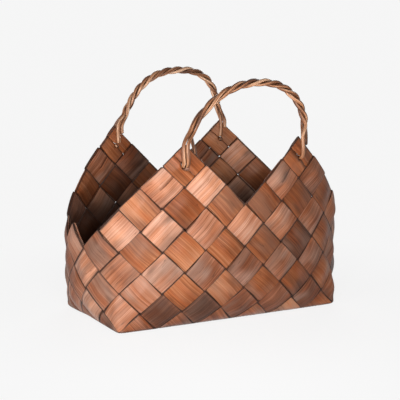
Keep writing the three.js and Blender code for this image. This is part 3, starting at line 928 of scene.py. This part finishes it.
# %% Rod courses
LEG_OFFSET = 0.0102
SPLIT_RISE = 0.018
STUB_REACH = 0.009
STUB_DROP = 0.003
FREE_END_LENGTH = 0.014
NEARBY = 0.02
ARCH_EXPONENT = 2.3
POINTS_PER_TURN = 10
RODS_PER_HANDLE = 3
ROPE_RADIUS = ROD_SPACING / (2 * math.sin(math.pi / RODS_PER_HANDLE))
RIM_HEIGHT = (PEAK_ROW - EYE_ROW) * CELL
HANDLES = (
    {"name": "front_handle", "peaks": (PEAKS[0], PEAKS[1]), "out": -1, "rise": 0.121, "lean": 0.027,
     "belly": 0.006, "pitch": 0.074, "tightening": 1.3,
     "tips": ((0.02, -0.006, 0, 0), (0.023, 0.016, 0, 0)), "tones": (0.07, -0.01, -0.08)},
    {"name": "back_handle", "peaks": (PEAKS[3], PEAKS[2]), "out": 1, "rise": 0.124, "lean": 0.02,
     "belly": -0.005, "pitch": 0.062, "tightening": 1,
     "tips": ((0.0045, 0.02, -0.016, 0.01), (0.003, 0.005, 0.015, 0.006)), "tones": (-0.01, 0.11, 0.03)},
)


def lies_outside(rod, peak):
    """Whether a rod hooks through this peak from outside: the first rod where one does, else the others."""
    return (rod == 0) == (OUTSIDE_RODS[PEAKS == peak][0] == 1)


def along_line(values, at):
    """Rows of an array read between their whole numbers."""
    return np.stack([np.interp(at, np.arange(len(values)), column) for column in values.T], axis=-1)


def even_steps(points, samples):
    """The same polyline with points at even steps of its length."""
    length = np.concatenate([[0], np.cumsum(np.linalg.norm(np.diff(points, axis=0), axis=1))])
    at = np.interp(np.linspace(0, length[-1], samples), length, np.arange(len(points)))
    return along_line(points, at)


def arch_points(handle, samples=401):
    """Arch at even steps of its length: a superellipse that leans along X and widens at its flanks."""
    start, end = (wall_point(peak, EYE_ROW) for peak in handle["peaks"])
    angle = np.linspace(0, np.pi, 4 * samples)
    climb = np.sin(angle).clip(0) ** (2 / ARCH_EXPONENT)
    level = -np.sign(np.cos(angle)) * np.abs(np.cos(angle)) ** (2 / ARCH_EXPONENT)
    reach = (end[0] - start[0]) / 2 + handle["belly"] * np.sin(np.pi * climb)
    x = (start[0] + end[0]) / 2 + reach * level + handle["lean"] * climb
    z = start[2] + handle["rise"] * climb
    return even_steps(np.stack([x, np.full_like(x, start[1]), z], axis=-1), samples)


def leg_points(peak, rod, sideways, tip):
    """End of a rod from its tip up: through the eye from outside and up at a lean, or free inside. A tip
    gives the free end's shift and height, how much higher the last rod ends, and the lean."""
    centre = wall_point(peak, EYE_ROW)
    along = wall_point(peak + NEARBY, EYE_ROW) - wall_point(peak - NEARBY, EYE_ROW)
    along = along / np.linalg.norm(along)
    out = np.cross(along, (0, 0, 1))
    shift, height, stagger, lean = tip
    foot = height + stagger * (rod == RODS_PER_HANDLE - 1)
    top = max(RIM_HEIGHT - abs(shift), height + max(stagger, 0) + FREE_END_LENGTH)
    steps = [(-LEG_OFFSET, foot, shift), (-LEG_OFFSET, top, shift)]
    if lies_outside(rod, peak):
        bend = LEG_OFFSET / 2
        steps = [(-STUB_REACH, -STUB_DROP, 0), (-STUB_REACH / 2, 0, 0), (LEG_OFFSET - bend, 0, 0),
                 (LEG_OFFSET, bend, 0), (LEG_OFFSET, RIM_HEIGHT, lean)]
    along = along * np.sign(along[0])
    return np.array([centre + out * reach + along * (sideways + aside) + np.array((0, 0, up))
                     for reach, up, aside in steps])


def smooth_curve(points, per_span=24):
    """Centripetal Catmull-Rom curve: a cubic in each span, with slopes from spans of root length."""
    padded = np.vstack([2 * points[0] - points[1], points, 2 * points[-1] - points[-2]])
    span = np.sqrt(np.linalg.norm(np.diff(padded, axis=0), axis=1))[:, None]
    before, here, after = span[:-2], span[1:-1], span[2:]
    p0, p1, p2, p3 = padded[:-3], padded[1:-2], padded[2:-1], padded[3:]
    slope1 = ((p1 - p0) / before - (p2 - p0) / (before + here) + (p2 - p1) / here) * here
    slope2 = ((p2 - p1) / here - (p3 - p1) / (here + after) + (p3 - p2) / after) * here
    t = np.linspace(0, 1, per_span, endpoint=False)[None, :, None]
    p1, p2, slope1, slope2 = (value[:, None, :] for value in (p1, p2, slope1, slope2))
    curve = (p1 * (2 * t**3 - 3 * t**2 + 1) + slope1 * (t**3 - 2 * t**2 + t)
             + p2 * (3 * t**2 - 2 * t**3) + slope2 * (t**3 - t**2))
    return np.vstack([curve.reshape(-1, 3), points[-1:]])


def rod_course(handle, rod):
    """Centre line of a rod: a leg, a helix round the arch, and the other leg. Also the rope's axis beside
    every point, and one for a point of the helix and nought for one of a leg."""
    arch = arch_points(handle)
    high = np.flatnonzero(arch[:, 2] >= arch[0, 2] + RIM_HEIGHT + SPLIT_RISE)
    length = np.linalg.norm(np.diff(arch[high], axis=0), axis=1).sum()
    left, right = handle["peaks"]
    half_turn = 0.5 if lies_outside(0, left) != lies_outside(0, right) else 0
    turns = math.floor(length / handle["pitch"]) + half_turn
    steps = round(turns * POINTS_PER_TURN)
    at = np.linspace(high[0], high[-1], steps + 1)
    centre = along_line(arch, at)
    tangent = along_line(np.gradient(arch, axis=0), at)
    tangent = tangent / np.linalg.norm(tangent, axis=1, keepdims=True)
    normal = np.stack([-tangent[:, 2], np.zeros(steps + 1), tangent[:, 0]], axis=-1)
    first = np.pi / 2 if lies_outside(0, left) else -np.pi / 2
    turned = handle["out"] * turns * 2 * np.pi * np.linspace(0, 1, steps + 1) ** handle["tightening"]
    angle = first + rod * 2 * np.pi / RODS_PER_HANDLE + turned
    outward = np.array((0, handle["out"], 0))
    helix = centre + ROPE_RADIUS * (np.cos(angle)[:, None] * normal + np.sin(angle)[:, None] * outward)
    aside = np.sign(helix[:, 0] - centre[:, 0]) * LEG_SPACING / 2 * (rod > 0)
    start = leg_points(left, rod, aside[0], handle["tips"][0])
    end = leg_points(right, rod, aside[-1], handle["tips"][1])[::-1]
    twisted = np.repeat([0.0, 1.0, 0.0], [len(start), steps + 1, len(end)])
    return np.vstack([start, helix, end]), np.vstack([start, centre, end]), twisted


# %% Rod mesh
ROD_RING = 16
ROD_STEP = 0.0016
ROD_SWELL = 1.05
# Each wave has its share of the radius and its length
ROD_WAVES = ((0.05, 0.017), (0.035, 0.0071))
FLAT_SHARE = 0.06
FLAT_TURN = 0.02
BLUNT_LENGTH = 0.0012
BLUNT_LEAST = 0.3
CUT_LENGTH = 0.0006
ROD_WELD = 1e-7


def rod_mesh(handle, rod, random):
    """Tube round a rod's course. The ring is turned by a reference that is Y along the arch and X along
    the legs. Its radius wanders as a sum of sines, is a little flattened and is blunt at the ends."""
    points, axis_points, twisted = rod_course(handle, rod)
    curve = smooth_curve(points)
    length = np.concatenate([[0], np.cumsum(np.linalg.norm(np.diff(curve, axis=0), axis=1))])
    count = int(length[-1] / ROD_STEP)
    at = np.linspace(0, length[-1], count)
    station = np.interp(at, length, np.arange(len(curve)))
    line = along_line(curve, station)
    point_at = station * (len(points) - 1) / (len(curve) - 1)
    inward = along_line(axis_points - points, point_at)
    share = np.interp(point_at, np.arange(len(points)), twisted)[:, None]
    tangent = np.gradient(line, axis=0)
    tangent = tangent / np.linalg.norm(tangent, axis=1, keepdims=True)
    side = np.cross(tangent, share * np.array((0, 1, 0)) + (1 - share) * np.array((1, 0, 0)))
    side = side / np.linalg.norm(side, axis=1, keepdims=True)
    other = np.cross(tangent, side)
    phase = random.uniform(0, 2 * np.pi, 4)
    wander = sum(share * np.sin(at / wave + start) for (share, wave), start in zip(ROD_WAVES, phase))
    angle = np.linspace(0, 2 * np.pi, ROD_RING, endpoint=False)
    flat = FLAT_SHARE * np.cos(2 * angle + at[:, None] / FLAT_TURN + phase[2])
    from_end = np.minimum(at, length[-1] - at)
    blunt = np.sqrt(np.clip(1 - (1 - np.clip(from_end / BLUNT_LENGTH, 0, 1)) ** 2, BLUNT_LEAST, 1))
    radius = ROD_DIAMETER / 2 * ROD_SWELL * (1 + wander[:, None] + flat) * blunt[:, None]
    around = np.cos(angle)[:, None] * side[:, None, :] + np.sin(angle)[:, None] * other[:, None, :]
    surface = line[:, None, :] + around * radius[..., None]
    crease = (around * inward[:, None, :]).sum(axis=-1) / ROPE_RADIUS
    mesh = bpy.data.meshes.new(f"{handle['name']}_rod_{rod + 1}_wood")
    faces = tube_faces(count, ROD_RING, np.zeros(count - 1, bool)).tolist()
    faces += [list(range(ROD_RING)), [(count - 1) * ROD_RING + k for k in range(ROD_RING)]]
    mesh.from_pydata(surface.reshape(-1, 3).tolist(), [], faces)
    seed = random.uniform(0, GRAIN_STARTS)
    along = np.broadcast_to(at[:, None], radius.shape)
    cut = np.broadcast_to((from_end < CUT_LENGTH)[:, None], radius.shape)
    grain = np.stack([along, np.cos(angle) * radius, seed + np.sin(angle) * radius], axis=-1)
    set_attribute(mesh, "grain", grain.reshape(-1, 3))
    set_attribute(mesh, "crease", crease.ravel())
    set_attribute(mesh, "upward", around[..., 2].ravel())
    set_attribute(mesh, "tone", np.full(count * ROD_RING, handle["tones"][rod]))
    set_attribute(mesh, "cut", cut.ravel())
    weld(mesh, ROD_WELD)
    return mesh


# %% [markdown]
# ## Rod wood
# The rods are pale where the peeled wood shows and brown where bark is left, with fine lines along them.
# The hollows where rods press together and their upper sides get painted shade: the colour is mixed
# towards dark brown by how far a point faces the middle of the rope, or upwards.

# %% Rod material
ROD_STOPS = ((0.3, (0.07, 0.024, 0.009)), (0.45, (0.22, 0.08, 0.031)),
             (0.58, (0.45, 0.205, 0.1)), (0.75, (0.76, 0.47, 0.3)))
ROD_DARK = (0.03, 0.012, 0.006)
ROD_NOISE = {"streaks": ((16, 320, 320), 3.0, 0.6), "lines": ((30, 900, 900), 2.0, 0.6)}
ROD_VALUE = -0.45
ROD_STREAK_WEIGHT = 1.5
ROD_LINE_WEIGHT = 0.4
UPWARD_SHADE_RANGE = (0.1, 0.9, 0.0, 0.5)
CREASE_SHADE_RANGE = (-0.1, 0.7, 0.0, 0.9)
CUT_RANGE = (0.0, 1.0, 0.0, 0.8)


def rod_material():
    """Wood: streaks, lines and the rod's tone pick a colour. Upper sides and the side that faces the rope's
    middle get painted shade, and the cut ends are darker. Lines give the bump."""
    material, tree, output = fresh_material("rod_wood")
    grain = attribute_value(tree, "grain", "Vector")
    tone = attribute_value(tree, "tone")
    streaks, lines = (stretched_noise(tree, grain, *values) for values in ROD_NOISE.values())
    terms = (streaks, ROD_STREAK_WEIGHT), (lines, ROD_LINE_WEIGHT), (tone, 1.0)
    colour = ramp(tree, weighted_sum(tree, ROD_VALUE, *terms), ROD_STOPS)
    # Painted shade on upper sides and towards the rope's middle; the cut ends are darker too
    for shade, limits in (("upward", UPWARD_SHADE_RANGE), ("crease", CREASE_SHADE_RANGE), ("cut", CUT_RANGE)):
        share = ranged(tree, attribute_value(tree, shade), *limits)
        colour = mixed_colour(tree, share, colour, ROD_DARK)
    bump = add_node(tree, "ShaderNodeBump", {"Strength": 0.4, "Distance": 0.0004, "Height": lines})
    shader = add_node(tree, "ShaderNodeBsdfPrincipled", {
        "Base Color": colour,
        "Roughness": 0.42,
        "Specular IOR Level": 0.35,
        "Normal": bump.outputs[0],
    })
    tree.links.new(shader.outputs[0], output.inputs["Surface"])
    return material


# %% Make the rods
rod_wood = rod_material()
rod_count = 0
for handle in HANDLES:
    for rod in range(RODS_PER_HANDLE):
        mesh = rod_mesh(handle, rod, random)
        node = f"{handle['name']}_rod_{rod + 1}"
        finish_piece(node + "_wood", mesh, rod_wood, handle["name"], node)
        rod_count += len(mesh.polygons)
print("rods:", len(HANDLES) * RODS_PER_HANDLE, "pieces,", rod_count, "faces")
